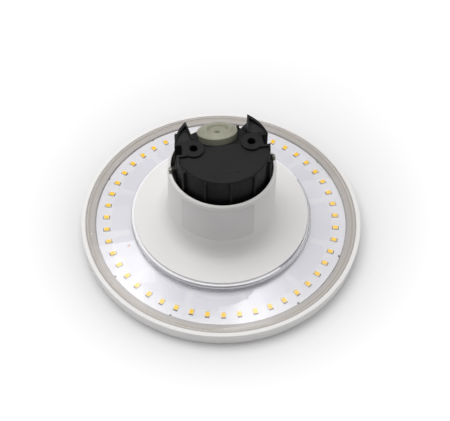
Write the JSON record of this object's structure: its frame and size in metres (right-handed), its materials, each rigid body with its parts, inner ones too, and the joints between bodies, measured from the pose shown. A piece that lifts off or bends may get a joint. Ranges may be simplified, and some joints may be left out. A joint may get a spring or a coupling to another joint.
{
  "type": "round led wall light",
  "caption": "Round flat disc wall light with a ring of chips under a clear cover behind it, a white neck, and a black wall base with a tilted rubber grommet, held by side set screws.",
  "frame": {"origin": "centre of the front face, where the lamp rests face-down", "axes": "+Z from the front face towards the wall; +X through the two wall-screw holes; the cable grommet faces +Y and +Z"},
  "size_m": [0.18, 0.18, 0.0782],
  "materials": {
    "housing_white": "matt white powder coat on die-cast aluminium",
    "board_white": "white solder mask on an aluminium board",
    "thermal_grey": "soft thermal pad",
    "chip_body": "white chip body",
    "chip_phosphor": "warm yellow silicone",
    "solder": "dull solder",
    "clear_plastic": "clear moulded plastic",
    "sealant": "translucent grey silicone",
    "gasket_dark": "black rubber",
    "steel_screw": "zinc-plated steel",
    "set_screw_steel": "nickel-plated steel, slightly yellow",
    "case_plastic": "white flame-proof plastic",
    "driver_green": "green circuit board",
    "ferrite": "ferrite and tape",
    "capacitor_sleeve": "dark sleeve",
    "black_part": "moulded package",
    "lead_sleeve": "wire sleeve",
    "label_silver": "silver film",
    "base_black": "black glass-filled plastic, fine spark texture",
    "grommet_grey": "olive-grey rubber",
    "terminal_white": "white plastic",
    "clamp_brass": "nickelled brass"
  },
  "bodies": {
    "lamp": {"front_housing": "housing_white", "thermal_pad": "thermal_grey", "led_board": "board_white", "led_packages": "chip_body", "led_phosphors": "chip_phosphor", "led_terminals": "solder", "clear_cover": "clear_plastic", "edge_sealant": "sealant", "inner_gasket": "gasket_dark", "neck_housing": "housing_white", "housing_screws": "steel_screw", "driver_case": "case_plastic", "driver_lid": "case_plastic", "driver_board": "driver_green", "driver_inductor": "ferrite", "driver_capacitors": "capacitor_sleeve", "driver_rectifier": "black_part", "led_leads": "lead_sleeve", "supply_leads": "lead_sleeve", "rating_label": "label_silver"},
    "base": {"wall_base": "base_black", "cable_grommet": "grommet_grey", "terminal_block": "terminal_white", "terminal_clamps": "clamp_brass", "terminal_screws": "steel_screw", "terminal_fixing_screw": "steel_screw", "set_screw_nuts": "steel_screw"},
    "set_screw_left": {"set_screw_left": "set_screw_steel"},
    "set_screw_right": {"set_screw_right": "set_screw_steel"}
  },
  "joints": [
    {"name": "base_lift", "type": "slide", "parent": "lamp", "child": "base", "axis": [0, 0, 1], "range_m": [0, 0.03], "deforming": ["supply_leads"]},
    {"name": "set_screw_left_in", "type": "slide", "parent": "base", "child": "set_screw_left", "axis": [1, 0, 0], "range_m": [0, 0.0035]},
    {"name": "set_screw_right_in", "type": "slide", "parent": "base", "child": "set_screw_right", "axis": [-1, 0, 0], "range_m": [0, 0.0035]}
  ]
}
